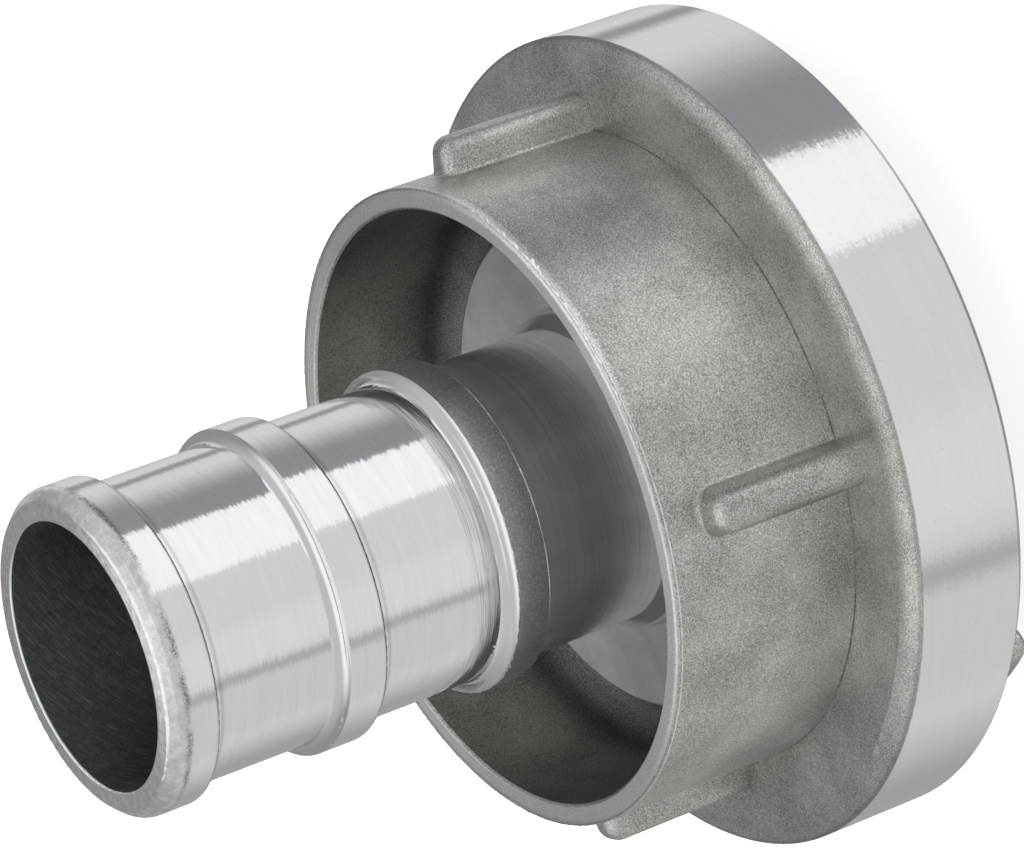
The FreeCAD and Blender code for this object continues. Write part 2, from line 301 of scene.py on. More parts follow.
def turned_place() -> Tree:
    """Builds the effect that says where a point of a turned surface is.

    Returns:
        A group with the radius and the height in millimetres, and the directions away from and round the axis.
    """
    outputs = [Port("Radius"), Port("Height"), Port("Out", "NodeSocketVector"), Port("Round", "NodeSocketVector")]
    effect = Effect("turned_place", [PLACE], outputs)
    g = effect.graph
    parts = g.node("SeparateXYZ", {0: effect.given["Place"]}).outputs
    flat = g.joined(parts["X"], parts["Y"], 0.0)
    length = g.node("VectorMath", {0: flat}, operation="LENGTH").outputs["Value"]
    out = g.vector("NORMALIZE", flat)
    effect.output(
        Radius=g.math("DIVIDE", length, MM),
        Height=g.math("DIVIDE", parts["Z"], MM),
        Out=out,
        Round=g.vector("CROSS_PRODUCT", UP, out),
    )
    return effect.group


def turning_marks(place: Tree) -> Tree:
    """Builds the effect of a turning tool's fine rings.

    Args:
        place: The effect that says where a point is.

    Returns:
        A group with the surface normal, tilted from ring to ring, and a streak value from 0 to 1.
    """
    face_pitch, groove_pitch, streak_pitch, slow_runs = 1.37, 1.9, 0.45, 0.4
    effect = Effect("turning_marks", [PLACE, *ports(Marks)], [NORMAL, Port("Streaks")])
    g = effect.graph
    given = effect.given
    spot = g.effect(place, Place=given["Place"])
    along = g.math("DIVIDE", g.math("MULTIPLY_ADD", spot["Radius"], face_pitch, spot["Height"]), given["Pitch"])
    path = g.raised(g.scaled(spot["Out"], given["Runs"]), along)
    side = g.swing(path, 1.0, detail=3.0, roughness=0.65)
    slow = g.scaled(spot["Out"], g.times(given["Runs"], slow_runs))
    rings = g.vector("ADD", slow, g.joined(7.3, 2.1, g.times(along, groove_pitch)))
    tilt = g.swing(rings, 1.0, detail=2.0, roughness=0.6)
    normal = g.node("NewGeometry").outputs["Normal"]
    tangent = g.to_world(spot["Round"])
    across = g.vector("CROSS_PRODUCT", normal, tangent)
    sideways = g.scaled(tangent, g.times(side, g.times(given["Ragged"], 2.0)))
    lengthways = g.scaled(across, g.times(tilt, g.times(given["Groove"], 2.0)))
    moved = g.vector("ADD", normal, g.vector("ADD", sideways, lengthways))
    streaks = g.noise(g.raised(slow, g.times(along, streak_pitch)), 1.0, detail=4.0, roughness=0.7)
    effect.output(Normal=g.vector("NORMALIZE", moved), Streaks=streaks)
    return effect.group


def band_mask(place: Tree) -> Tree:
    """Builds the effect that picks a band of heights and radii with slightly ragged borders.

    Args:
        place: The effect that says where a point is.

    Returns:
        A group with a mask that is 1 inside the given heights and radii.
    """
    ripple_scale = 900.0
    effect = Effect("band_mask", [PLACE, *ports(Zone)], [Port("Mask")])
    g = effect.graph
    given = effect.given
    soft = given["Soft"]
    spot = g.effect(place, Place=given["Place"])
    ripple = g.swing(given["Place"], ripple_scale, detail=3.0, roughness=0.6)
    offset = g.times(ripple, g.times(given["Ragged"], 2.0))
    height = g.math("ADD", spot["Height"], offset)
    radius = g.math("ADD", spot["Radius"], offset)
    mask: Wire | float = 1.0
    for value, low, high in ((height, given["Low"], given["High"]), (radius, given["Inner"], given["Outer"])):
        rise = g.over(value, low, soft, soft)
        fall = g.step(value, g.math("SUBTRACT", high, soft), g.math("ADD", high, soft), 1.0, 0.0)
        mask = g.times(mask, g.times(rise, fall))
    effect.output(Mask=mask)
    return effect.group


def cast_skin() -> Tree:
    """Builds the effect of a blasted sand casting: grains, slow stains and sparks, which are painted glints.

    Returns:
        A group with a height, a tone from 0 to 1, a stain from 0 to 1 and a spark mask of painted glints.
    """
    grain_scale, cell_scale, lump_scale = 0.8, 0.9, 0.22
    grain_height, cell_height, lump_height = 0.75, 0.35, 0.5
    outputs = [Port("Height"), Port("Tone"), Port("Stain"), Port("Sparks")]
    effect = Effect("cast_skin", [PLACE, *ports(Skin)], outputs)
    g = effect.graph
    place = effect.given["Place"]
    fine = g.math("DIVIDE", PER_MM, effect.given["Grain"])
    grains = g.noise(place, g.times(fine, grain_scale), detail=2.0, roughness=0.8)
    cells = g.node("TexVoronoi", {"Vector": place, "Scale": g.times(fine, cell_scale)}, feature="F1").outputs
    lumps = g.noise(place, g.times(fine, lump_scale), detail=2.0, roughness=0.5)
    height = g.math("ADD", g.times(grains, grain_height), g.times(cells["Distance"], cell_height))
    stain = g.noise(place, g.math("DIVIDE", PER_MM, effect.given["Stain Size"]), detail=5.0, roughness=0.6)
    effect.output(
        Height=g.math("ADD", height, g.times(lumps, lump_height)),
        Tone=g.step(grains, 0.36, 0.64),
        Stain=g.step(stain, 0.3, 0.7),
        Sparks=g.times(g.step(cells["Color"], 0.74, 0.9), g.step(grains, 0.48, 0.62)),
    )
    return effect.group


def tool_rings(place: Tree, band: Tree) -> Tree:
    """Builds the effect of a few single rings that a tool has left beside a shoulder.

    Args:
        place: The effect that says where a point is.
        band: The effect that picks a band of heights.

    Returns:
        A group with a mask of thin rings between two heights.
    """
    drift, no_rings, by_share = 1.6, 0.75, 0.5
    effect = Effect("tool_rings", [PLACE, *ports(Rings)], [Port("Rings")])
    g = effect.graph
    given = effect.given
    spot = g.effect(place, Place=given["Place"])
    along = g.math("DIVIDE", spot["Height"], given["Pitch"])
    comb = g.noise(g.raised(g.scaled(spot["Out"], drift), along), 1.0, detail=2.0, roughness=0.6)
    limit = g.math("SUBTRACT", no_rings, g.times(given["Share"], by_share))
    heights = {"Low": given["Low"], "High": given["High"], "Ragged": 0.15, "Soft": 0.25}
    inside = g.effect(band, Place=given["Place"], Inner=0.0, Outer=1000.0, **heights)["Mask"]
    effect.output(Rings=g.times(g.over(comb, limit), inside))
    return effect.group


def eased_edge(place: Tree) -> Tree:
    """Builds the effect of an edge or shoulder that has been eased outwards.

    Args:
        place: The effect that says where a point is.

    Returns:
        A group that leans a normal away from the axis.
    """
    effect = Effect("eased_edge", [PLACE, NORMAL, Port("Ease")], [NORMAL])
    g = effect.graph
    given = effect.given
    out = g.to_world(g.effect(place, Place=given["Place"])["Out"])
    leaned = g.vector("ADD", given["Normal"], g.scaled(out, given["Ease"]))
    effect.output(Normal=g.vector("NORMALIZE", leaned))
    return effect.group


def worn_rings(place: Tree) -> Tree:
    """Builds the effect of a chattered surface whose high spots have been worn bright.

    Args:
        place: The effect that says where a point is.

    Returns:
        A group with a mask of short bright dashes along the rings.
    """
    dashes_round, dash_scale = 14.0, 0.8
    effect = Effect("worn_rings", [PLACE, Port("Pitch")], [Port("Worn")])
    g = effect.graph
    given = effect.given
    spot = g.effect(place, Place=given["Place"])
    turn = g.scaled(spot["Out"], g.math("DIVIDE", dashes_round, given["Pitch"]))
    along = g.math("DIVIDE", spot["Height"], given["Pitch"])
    dashes = g.noise(g.raised(turn, along), dash_scale, detail=3.0, roughness=0.75)
    effect.output(Worn=g.step(dashes, 0.46, 0.72))
    return effect.group


def hammered_skin() -> Tree:
    """Builds the effect of metal that is slightly beaten or chattered.

    Returns:
        A group that tilts a normal from spot to spot, with a tone from 0 to 1 and a mask of dark pits.
    """
    pit_scale, tone_scale, no_pits, by_pits = 1.7, 0.8, 0.72, 0.3
    effect = Effect("hammered_skin", [PLACE, NORMAL, *ports(Beaten)], [NORMAL, Port("Tone"), Port("Pits")])
    g = effect.graph
    given = effect.given
    scale = g.math("DIVIDE", PER_MM, given["Size"])
    spots = {"Vector": given["Place"], "Scale": scale, "Detail": 3.0, "Roughness": 0.55}
    colour = g.node("TexNoise", spots).outputs["Color"]
    lean = g.scaled(g.vector("SUBTRACT", colour, (0.5, 0.5, 0.5)), g.times(given["Tilt"], 2.0))
    fine = g.noise(given["Place"], g.times(scale, pit_scale), detail=4.0, roughness=0.7)
    tone = g.noise(given["Place"], g.times(scale, tone_scale), detail=4.0, roughness=0.65)
    limit = g.math("SUBTRACT", no_pits, g.times(given["Pits"], by_pits))
    effect.output(
        Normal=g.vector("NORMALIZE", g.vector("ADD", given["Normal"], lean)),
        Tone=g.step(tone, 0.3, 0.7),
        Pits=g.over(fine, limit),
    )
    return effect.group


def scratches(place: Tree) -> Tree:
    """Builds the effect of thin slanting scratches on a turned surface.

    Args:
        place: The effect that says where a point is.

    Returns:
        A group with a mask of scratches.
    """
    layer, no_lines, by_amount = 3.7, 0.8, 0.4
    effect = Effect("scratches", [PLACE, *ports(Scratch)], [Port("Lines")])
    g = effect.graph
    given = effect.given
    spot = g.effect(place, Place=given["Place"])
    parts = g.node("SeparateXYZ", {0: spot["Out"]}).outputs
    arc = g.times(g.math("ARCTAN2", parts["Y"], parts["X"]), spot["Radius"])
    across = g.math("DIVIDE", g.math("MULTIPLY_ADD", arc, given["Slant"], spot["Height"]), given["Width"])
    slanted = g.math("SUBTRACT", arc, g.times(spot["Height"], given["Slant"]))
    along = g.math("DIVIDE", slanted, given["Length"])
    field = g.noise(g.joined(along, across, layer), 1.0, detail=3.0, roughness=0.7)
    limit = g.math("SUBTRACT", no_lines, g.times(given["Amount"], by_amount))
    effect.output(Lines=g.over(field, limit, beyond=0.06))
    return effect.group


@dataclass(frozen=True)
class Effects:
    """The shared node groups."""

    place: Tree
    marks: Tree
    band: Tree
    skin: Tree
    rings: Tree
    hammered: Tree
    scratches: Tree
    eased: Tree
    worn: Tree

    @classmethod
    def build(cls) -> "Effects":
        """Builds each group once.

        Returns:
            The groups by their short names.
        """
        place = turned_place()
        band = band_mask(place)
        return cls(
            place=place,
            marks=turning_marks(place),
            band=band,
            skin=cast_skin(),
            rings=tool_rings(place, band),
            hammered=hammered_skin(),
            scratches=scratches(place),
            eased=eased_edge(place),
            worn=worn_rings(place),
        )


def blank_material(name: str) -> tuple[Material, Graph]:
    """Makes a material with an empty node tree.

    Args:
        name: The material's name.

    Returns:
        The material and a graph on its tree.
    """
    material = bpy.data.materials.new(name)
    material.use_nodes = True
    material.node_tree.nodes.clear()
    return material, Graph(material.node_tree)


def close_material(g: Graph, shader: bpy.types.Node) -> None:
    """Joins a shader to the material's output."""
    g.node("OutputMaterial", {"Surface": shader.outputs[0]})


@dataclass(frozen=True)
class Surface:
    """The material of a piece in the making, with the shared effects and the point in the piece's own frame."""

    material: Material
    g: Graph
    effects: Effects
    place: Wire

    @classmethod
    def start(cls, name: str, effects: Effects) -> "Surface":
        """Returns the surface of a new material, still without a shader."""
        material, g = blank_material(name)
        return cls(material, g, effects, g.node("TexCoord").outputs["Object"])

    def effect(self, group: Tree, settings: object = None, **values: object) -> dict[str, Wire]:
        """Places a shared effect at the point.

        Args:
            group: The effect's node group.
            settings: A dataclass with fields named after the group's inputs, or nothing.
            **values: Values or sockets for the other inputs.

        Returns:
            The group's outputs by name.
        """
        given = asdict(settings) if settings else {}
        named = {socket_name(name): value for name, value in given.items()}
        return self.g.effect(group, Place=self.place, **named, **values)

    def mask(self, zone: Zone) -> Wire:
        """Returns a mask that is 1 inside a zone."""
        return self.effect(self.effects.band, zone)["Mask"]

    def lay(self, anisotropy: float) -> dict[str, object]:
        """Returns the shader's inputs for the gloss of metal that was turned round the Z axis."""
        tangent = self.g.node("Tangent", direction_type="RADIAL", axis="Z").outputs[0]
        return {"Anisotropic": anisotropy, "Anisotropic Rotation": QUARTER_TURN, "Tangent": tangent}

    def finish(self, **inputs: object) -> Material:
        """Gives the material a shader with these inputs, and returns it."""
        close_material(self.g, self.g.node("BsdfPrincipled", inputs))
        return self.material


@dataclass(frozen=True)
class TurnedFinish:
    """Bright turned aluminium with the tool's rings."""

    name: str = Slot.TURNED.value
    bright: Colour = (0.915, 0.915, 0.915)
    dull: Colour = (0.85, 0.85, 0.855)
    # Dark colour for real pits, tool rings and the nose border, and for the lines of painted shadow and shade beside
    # the beads.
    grime: Colour = (0.2, 0.2, 0.205)
    roughness: float = 0.075
    roughness_swing: float = 0.015
    matt_more: float = 0.17
    inside_roughness: float = 0.5
    anisotropy: float = 0.7
    marks: Marks = Marks(pitch=0.3, ragged=0.03, groove=0.045, runs=5.0)
    neck: Zone = Zone(low=34.6, high=53.7, inner=16.4, ragged=0.02)
    neck_marks: Marks = Marks(pitch=0.1, runs=1.6)
    dull_rings: Colour = (0.8, 0.815, 0.805)
    stop: Zone = Zone(low=53.7, high=58.15, inner=18.9, ragged=0.05)
    chatter: Colour = (0.6, 0.62, 0.635)
    worn_pitch: float = 0.17
    shoulder: Zone = Zone(low=56.9, high=58.6, inner=17.66, outer=19.1, ragged=0.05, soft=0.1)
    shoulder_ease: float = 0.75
    disc: Zone = Zone(low=30.0, high=34.6, inner=16.4, ragged=0.02)
    disc_low: Colour = (0.64, 0.645, 0.625)
    disc_high: Colour = (0.76, 0.765, 0.745)
    speckle: Skin = Skin(grain=0.2, stain_size=5.0)
    mouth: Zone = Zone(low=8.0, high=34.3, outer=26.6, ragged=0.05)
    bore: Zone = Zone(low=34.5, outer=15.95, high=102.8, ragged=0.05, soft=0.06)
    # Painted shade: the bore's bare metal is coloured dark grey because little light reaches inside it.
    bore_colour: Colour = (0.13, 0.147, 0.154)
    bore_light: Colour = (0.205, 0.226, 0.232)
    bore_flecks: Skin = Skin(grain=0.3, stain_size=2.2)
    bore_roughness: float = 0.5
    stain_share: float = 0.5
    bore_scratch: Colour = (0.7, 0.72, 0.72)
    scratch_share: float = 0.45
    scratches: tuple[Scratch, Scratch] = (Scratch(0.6, 0.08, 3.4, 0.56), Scratch(-1.1, 0.08, 2.4, 0.44))
    nose: Zone = Zone(low=100.9, inner=15.9, ragged=0.25, soft=0.2)
    nose_ease: float = 0.2
    beaten: Beaten = Beaten(size=0.8, tilt=0.1, pits=0.22)
    beaten_low: Colour = (0.76, 0.76, 0.765)
    pit_share: float = 0.5
    nose_border: Zone = Zone(low=100.65, high=101.3, inner=18.5, ragged=0.25, soft=0.3)
    border_share: float = 0.85
    # Painted shadow: dark lines on the lands just below the steps of the two beads.
    land_lines: tuple[Zone, ...] = (
        Zone(low=95.7, high=96.1, inner=17.4, outer=18.2, ragged=0.06, soft=0.2),
        Zone(low=74.1, high=74.5, inner=17.4, outer=18.2, ragged=0.06, soft=0.2),
    )
    land_share: float = 0.3
    # Painted shade: dark lines along the beads' lower edges, in place of the dark reflection of a slightly rounded
    # edge.
    bead_lines: tuple[Zone, ...] = (
        Zone(low=96.9, high=97.42, inner=17.8, outer=19.4, ragged=0.07, soft=0.16),
        Zone(low=75.3, high=75.82, inner=17.8, outer=19.4, ragged=0.07, soft=0.16),
    )
    bead_share: float = 0.55
    foot_rings: Rings = Rings(low=59.6, high=62.4, pitch=0.2, share=0.45)
    foot_share: float = 0.35

    def normal(self, on: Surface, nose: Wire) -> dict[str, Wire]:
        """Builds the tilted normal and what comes with it.

        Args:
            on: The surface.
            nose: The mask of the lead-in.

        Returns:
            The normal, the streaks, and the nose's tone and pits.
        """
        g, effects = on.g, on.effects
        marks = on.effect(effects.marks, self.marks)
        eased = on.effect(effects.eased, Normal=marks["Normal"], Ease=self.shoulder_ease)["Normal"]
        normal = g.blend_vector(on.mask(self.shoulder), marks["Normal"], eased)
        rounded = on.effect(effects.eased, Normal=normal, Ease=self.nose_ease)["Normal"]
        beaten = on.effect(effects.hammered, self.beaten, Normal=rounded)
        mixed = g.blend_vector(nose, normal, beaten["Normal"])
        plain = g.node("NewGeometry").outputs["Normal"]
        mixed = g.blend_vector(on.mask(self.disc), mixed, plain)
        return {"Normal": mixed, "Streaks": marks["Streaks"], "Tone": beaten["Tone"], "Pits": beaten["Pits"]}

    def outside(self, on: Surface, skin: dict[str, Wire], nose: Wire) -> Wire:
        """Builds the colour of the outside, with dark lines along the edges, some of them painted shadow and shade
        beside the beads, and marks on the nose.

        Args:
            on: The surface.
            skin: What the method normal has returned.
            nose: The mask of the lead-in.

        Returns:
            The colour.
        """
        g, effects = on.g, on.effects
        metal = g.tint(g.step(skin["Streaks"], *STREAK_TONES), self.dull, self.bright)
        rings = on.effect(effects.marks, self.neck_marks)["Streaks"]
        metal = g.tint(on.mask(self.neck), metal, g.tint(g.step(rings, 0.3, 0.7), self.dull_rings, WHITE))
        speckle = on.effect(effects.skin, self.speckle)
        metal = g.tint(on.mask(self.disc), metal, g.tint(speckle["Stain"], self.disc_low, self.disc_high))
        worn = on.effect(effects.worn, Pitch=self.worn_pitch)["Worn"]
        metal = g.tint(on.mask(self.stop), metal, g.tint(worn, self.chatter, WHITE))
        metal = g.tint(nose, metal, g.tint(skin["Tone"], self.beaten_low, WHITE))
        metal = g.tint(g.times(g.times(skin["Pits"], nose), self.pit_share), metal, self.grime)
        broken = g.times(g.step(speckle["Stain"], 0.0, 0.8), g.step(speckle["Tone"], 0.1, 0.6, 0.25, 1.0))
        border = g.times(on.mask(self.nose_border), broken)
        metal = g.tint(g.times(border, self.border_share), metal, self.grime)
        # Lines of painted shadow on the lands and of painted shade on the beads' lower edges.
        for lines, share in ((self.land_lines, self.land_share), (self.bead_lines, self.bead_share)):
            for line in lines:
                metal = g.tint(g.times(on.mask(line), share), metal, self.grime)
        foot = on.effect(effects.rings, self.foot_rings)["Rings"]
        return g.tint(g.times(foot, self.foot_share), metal, self.grime)

    def inside(self, on: Surface) -> Wire:
        """Builds the colour of the scratched bore, darkened as painted shade.

        Args:
            on: The surface.

        Returns:
            The colour.
        """
        g, effects = on.g, on.effects
        lines = [on.effect(effects.scratches, scratch)["Lines"] for scratch in self.scratches]
        flecks = on.effect(effects.skin, self.bore_flecks)
        mottled = g.blend(self.stain_share, flecks["Tone"], flecks["Stain"])
        # Painted shade of the bore, mottled between two dark greys.
        wall = g.tint(mottled, self.bore_colour, self.bore_light)
        return g.tint(g.times(g.math("MAXIMUM", *lines), self.scratch_share), wall, self.bore_scratch)

    def material(self, effects: Effects) -> Material:
        """Builds the material of the hose tail.

        Args:
            effects: The shared effects.

        Returns:
            The material.
        """
        on = Surface.start(self.name, effects)
        g = on.g
        bore = on.mask(self.bore)
        nose = on.mask(self.nose)
        matt = g.math("MAXIMUM", on.mask(self.neck), on.mask(self.stop))
        deep = g.math("MAXIMUM", on.mask(self.disc), on.mask(self.mouth))
        skin = self.normal(on, nose)
        low, high = self.roughness - self.roughness_swing, self.roughness + self.roughness_swing
        rough = g.step(skin["Streaks"], *STREAK_GLOSS, high, low)
        for mask in (matt, nose):
            rough = g.blend(mask, rough, self.roughness + self.matt_more)
        rough = g.blend(deep, rough, self.inside_roughness)
        inputs = {
            "Base Color": g.tint(bore, self.outside(on, skin, nose), self.inside(on)),
            "Metallic": 1.0,
            "Roughness": g.blend(bore, rough, self.bore_roughness),
            "Normal": skin["Normal"],
        }
        return on.finish(**inputs, **on.lay(self.anisotropy))


@dataclass(frozen=True)
class CastFinish:
    """Sand cast aluminium, blasted, with some turned bands."""

    name: str = Slot.CAST.value
    light: Colour = (0.865, 0.852, 0.815)
    dark: Colour = (0.25, 0.248, 0.235)
    # White for the painted glints, the painted highlight on the rim's corner, the bright cut rim and the burr.
    spark: Colour = WHITE
    spark_share: float = 0.5
    stain_share: float = 0.3
    roughness: float = 0.36
    roughness_swing: float = 0.05
    skin: Skin = Skin(grain=0.14)
    relief: float = 0.02
    turned_bright: Colour = (0.90, 0.90, 0.90)
    turned_dull: Colour = (0.865, 0.865, 0.868)
    turned_roughness: float = 0.085
    anisotropy: float = 0.7
    marks: Marks = Marks(pitch=0.3, ragged=0.014, groove=0.02, runs=9.0)
    pits: Beaten = Beaten(size=0.45, tilt=0.02, pits=0.2)
    pit_share: float = 0.35
    inside: Zone = Zone(low=29.0, high=49.7, outer=35.9, inner=29.0, ragged=0.1, soft=0.15)
    shade: Colour = (0.74, 0.745, 0.72)
    foot: Zone = Zone(low=25.78, high=25.9, inner=37.9, outer=38.25, ragged=0.12, soft=0.04)
    foot_shade: Colour = (0.5, 0.5, 0.48)
    pocket: Zone = Zone(low=29.0, high=34.2, outer=35.9, inner=29.0, ragged=0.2, soft=2.0)
    pocket_shade: Colour = (0.34, 0.36, 0.38)
    rim: Zone = Zone(low=49.8, ragged=0.02, soft=0.02)
    rim_share: float = 0.45
    fringe: Zone = Zone(low=49.4, inner=38.08, ragged=0.02, soft=0.03)
    corner: Zone = Zone(low=48.9, inner=37.35, ragged=0.3, soft=0.35)
    corner_ease: float = 0.6
    # Painted highlight: the direction round the axis where the rim's outer corner is painted bright.
    knocked: float = 118.0
    knocked_cosines: tuple[float, float] = (0.84, 0.95)
    turned: tuple[Zone, ...] = (
        Zone(low=11.35, high=24.85, inner=48.6, ragged=0.12, soft=0.06),
        Zone(low=10.3, high=11.45, inner=48.0, ragged=0.02),
        Zone(low=10.4, high=29.3, outer=33.2, ragged=0.05),
    )
    # Painted shadow: thin dark lines along the borders of the turned band.
    edges: tuple[Zone, ...] = (
        Zone(low=24.72, high=25.1, inner=48.4, ragged=0.12, soft=0.12),
        Zone(low=11.15, high=11.4, inner=48.5, ragged=0.06, soft=0.06),
    )
    edge_share: float = 0.5

    def cast(self, on: Surface, skin: dict[str, Wire]) -> Wire:
        """Builds the colour of the cast surface, with painted glints, a painted highlight on the rim's corner and
        painted shade at the skirt's foot, inside it and in the pocket.

        Args:
            on: The surface.
            skin: The outputs of the cast skin.

        Returns:
            The colour.
        """
        g = on.g
        cast = g.tint(g.blend(self.stain_share, skin["Tone"], skin["Stain"]), self.dark, self.light)
        # Painted glints: white sparks in the grain.
        cast = g.tint(g.times(skin["Sparks"], self.spark_share), cast, self.spark)
        cut = g.tint(skin["Tone"], self.turned_dull, self.spark)
        cast = g.tint(on.mask(self.rim), cast, g.tint(self.rim_share, cut, cast))
        # Painted highlight on one side of the rim's outer corner.
        bruise = g.times(self.bruise(on), g.step(skin["Tone"], 0.1, 0.7, 0.35, 0.9))
        for bright in (bruise, on.mask(self.fringe)):
            cast = g.tint(bright, cast, self.spark)
        foot = g.times(on.mask(self.foot), g.step(skin["Stain"], 0.1, 0.8, 0.1, 1.0))
        cast = g.shaded(foot, cast, self.foot_shade)
        cast = g.shaded(on.mask(self.inside), cast, self.shade)
        return g.shaded(on.mask(self.pocket), cast, self.pocket_shade)

    def bruise(self, on: Surface) -> Wire:
        """Finds where a highlight is painted on one side of the rim's outer corner.

        Args:
            on: The surface.

        Returns:
            The mask of the painted highlight.
        """
        g = on.g
        turn = math.radians(self.knocked)
        towards = (math.cos(turn), math.sin(turn), 0.0)
        out = on.effect(on.effects.place)["Out"]
        share = g.node("VectorMath", {0: out, 1: towards}, operation="DOT_PRODUCT").outputs["Value"]
        return g.times(on.mask(self.corner), g.step(share, *self.knocked_cosines))

    def edged(self, on: Surface, metal: Wire) -> Wire:
        """Adds the fine dark lines that border the turned band, which are painted shadow.

        Args:
            on: The surface.
            metal: The colour without them.

        Returns:
            The colour with them.
        """
        for line in self.edges:
            metal = on.g.tint(on.g.times(on.mask(line), self.edge_share), metal, self.dark)
        return metal

    def material(self, effects: Effects) -> Material:
        """Builds the material of the claw ring.

        Args:
            effects: The shared effects.

        Returns:
            The material.
        """
        on = Surface.start(self.name, effects)
        g = on.g
        skin = on.effect(effects.skin, self.skin)
        marks = on.effect(effects.marks, self.marks)
        turned: Wire | float = 0.0
        for zone in self.turned:
            turned = g.math("MAXIMUM", turned, on.mask(zone))
        bright = g.tint(g.step(marks["Streaks"], *STREAK_TONES), self.turned_dull, self.turned_bright)
        pitted = on.effect(effects.hammered, self.pits, Normal=marks["Normal"])
        bright = g.tint(g.times(pitted["Pits"], self.pit_share), bright, self.dark)
        low, high = self.roughness - self.roughness_swing, self.roughness + self.roughness_swing
        rough = g.step(skin["Tone"], 0.0, 1.0, high, low)
        bumped = g.node("Bump", {"Strength": 1.0, "Distance": self.relief * MM, "Height": skin["Height"]}).outputs[0]
        eased = on.effect(effects.eased, Normal=bumped, Ease=self.corner_ease)["Normal"]
        grainy = g.blend_vector(on.mask(self.corner), bumped, eased)
        inputs = {
            "Base Color": self.edged(on, g.tint(turned, self.cast(on, skin), bright)),
            "Metallic": 1.0,
            "Roughness": g.blend(turned, rough, self.turned_roughness),
            "Normal": g.blend_vector(turned, grainy, pitted["Normal"]),
        }
        return on.finish(**inputs, **on.lay(self.anisotropy))


@dataclass(frozen=True)
class RubberFinish:
    """Moulded black rubber with a faint bloom."""

    name: str = Slot.RUBBER.value
    colour: Colour = (0.022, 0.022, 0.023)
    bloom: Colour = (0.05, 0.05, 0.05)
    roughness: float = 0.55
    smoother: float = 0.08
    rougher: float = 0.1
    skin: Skin = Skin(grain=0.18, stain_size=6.0)
    relief: float = 0.02
    strength: float = 0.6

    def material(self, effects: Effects) -> Material:
        """Builds the material of the sealing ring.

        Args:
            effects: The shared effects.

        Returns:
            The material.
        """
        on = Surface.start(self.name, effects)
        g = on.g
        skin = on.effect(effects.skin, self.skin)
        relief = {"Strength": self.strength, "Distance": self.relief * MM, "Height": skin["Height"]}
        low, high = self.roughness - self.smoother, self.roughness + self.rougher
        inputs = {
            "Base Color": g.tint(skin["Stain"], self.colour, self.bloom),
            "Roughness": g.step(skin["Stain"], 0.0, 1.0, low, high),
            "Normal": g.node("Bump", relief).outputs[0],
        }
        return on.finish(**inputs)


@dataclass(frozen=True)
class SpringFinish:
    """Drawn spring wire with lines along it."""

    name: str = Slot.SPRING.value
    colour: Colour = (0.42, 0.42, 0.43)
    dark: Colour = (0.25, 0.24, 0.23)
    roughness: float = 0.32
    smoother: float = 0.05
    rougher: float = 0.08
    marks: Marks = Marks(pitch=0.12, ragged=0.02, groove=0.1, runs=2.0)
    skin: Skin = Skin(grain=0.2, stain_size=4.0)

    def material(self, effects: Effects) -> Material:
        """Builds the material of the snap ring.

        Args:
            effects: The shared effects.

        Returns:
            The material.
        """
        on = Surface.start(self.name, effects)
        g = on.g
        marks = on.effect(effects.marks, self.marks)
        skin = on.effect(effects.skin, self.skin)
        low, high = self.roughness - self.smoother, self.roughness + self.rougher
        inputs = {
            "Base Color": g.tint(skin["Stain"], self.dark, self.colour),
            "Metallic": 1.0,
            "Roughness": g.step(marks["Streaks"], *STREAK_GLOSS, high, low),
            "Normal": marks["Normal"],
        }
        return on.finish(**inputs)


def dress(node: str, material: Material) -> None:
    """Gives a CAD node its material.

    Args:
        node: The CAD node's name.
        material: The material for its slots.
    """
    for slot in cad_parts[node].material_slots:
        slot.material = material
    LOG.info("%s dressed in %s", node, material.name)


def add_object(name: str, shell: bmesh.types.BMesh, material: Material) -> bpy.types.Object:
    """Turns a shell into an object of the scene, and frees the shell.

    Args:
        name: The object's name.
        shell: Its shape.
        material: Its only material.

    Returns:
        The object.
    """
    mesh = bpy.data.meshes.new(name)
    shell.to_mesh(mesh)
    shell.free()
    mesh.materials.append(material)
    piece = bpy.data.objects.new(name, mesh)
    bpy.context.scene.collection.objects.link(piece)
    LOG.info("%s built", name)
    return piece


